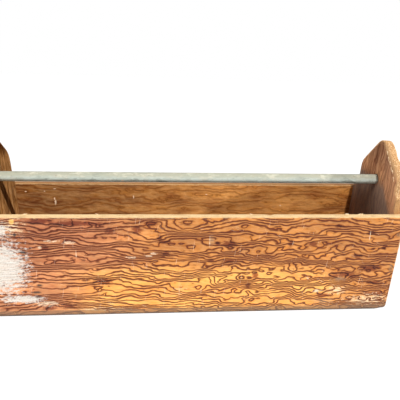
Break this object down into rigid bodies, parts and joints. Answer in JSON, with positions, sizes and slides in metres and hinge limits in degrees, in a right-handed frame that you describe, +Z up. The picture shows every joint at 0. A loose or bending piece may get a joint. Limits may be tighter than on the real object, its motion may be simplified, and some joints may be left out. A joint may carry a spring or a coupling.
{
  "type": "open tool tote",
  "caption": "Long open-topped plywood tool tote with two leaning, gabled ends and a steel pipe handle that turns in their sockets.",
  "frame": {"origin": "on the ground, under the middle of the box", "axes": "+X along the box to its right end, +Y to the rear, +Z up"},
  "size_m": [0.9512, 0.268, 0.3831],
  "materials": {
    "fir_plywood_outside": "old varnish, worn",
    "fir_plywood_ends": "old varnish, worn",
    "fir_plywood_bottom": "bare, dusty",
    "galvanised_pipe": "weathered zinc",
    "nail_steel": "dulled, rust-dark"
  },
  "bodies": {
    "box": {"front_side": "fir_plywood_outside", "rear_side": "fir_plywood_outside", "left_end": "fir_plywood_ends", "right_end": "fir_plywood_ends", "bottom_board": "fir_plywood_bottom", "front_left_nails": "nail_steel", "front_right_nails": "nail_steel", "front_bottom_nails": "nail_steel", "rear_left_nails": "nail_steel", "rear_right_nails": "nail_steel", "rear_bottom_nails": "nail_steel", "left_bottom_nails": "nail_steel", "right_bottom_nails": "nail_steel"},
    "handle": {"handle_pipe": "galvanised_pipe"}
  },
  "joints": [
    {"name": "handle_spin", "type": "hinge", "parent": "box", "child": "handle", "pos_m": [0, 0, 0.286], "axis": [1, 0, 0], "continuous": true}
  ]
}
